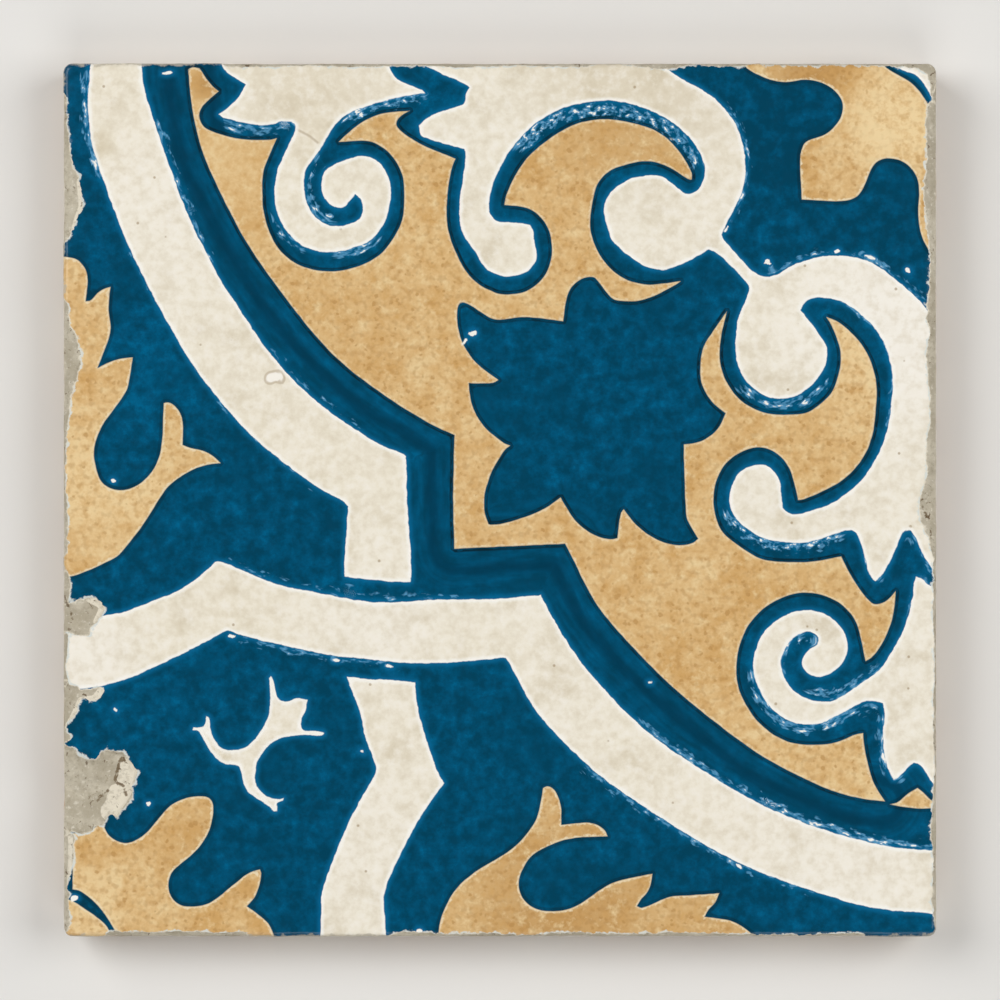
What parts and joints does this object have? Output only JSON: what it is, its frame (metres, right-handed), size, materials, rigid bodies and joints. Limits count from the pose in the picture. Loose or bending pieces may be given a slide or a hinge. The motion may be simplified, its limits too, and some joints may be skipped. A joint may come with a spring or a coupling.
{
  "type": "glazed floor and wall tile",
  "caption": "Square glazed ceramic tile with a stencilled strapwork and leaf pattern, rolled and chipped face edges, drafted sides and a keyed back for mortar.",
  "frame": {"origin": "centre of the back, on the plane of its ribs", "axes": "+Z out of the glazed face, +X to the right and +Y up in the picture's view of the face"},
  "size_m": [0.14, 0.14, 0.01],
  "materials": {
    "glazed_clay": "gloss"
  },
  "bodies": {
    "root": {"tile": "glazed_clay"}
  },
  "joints": []
}
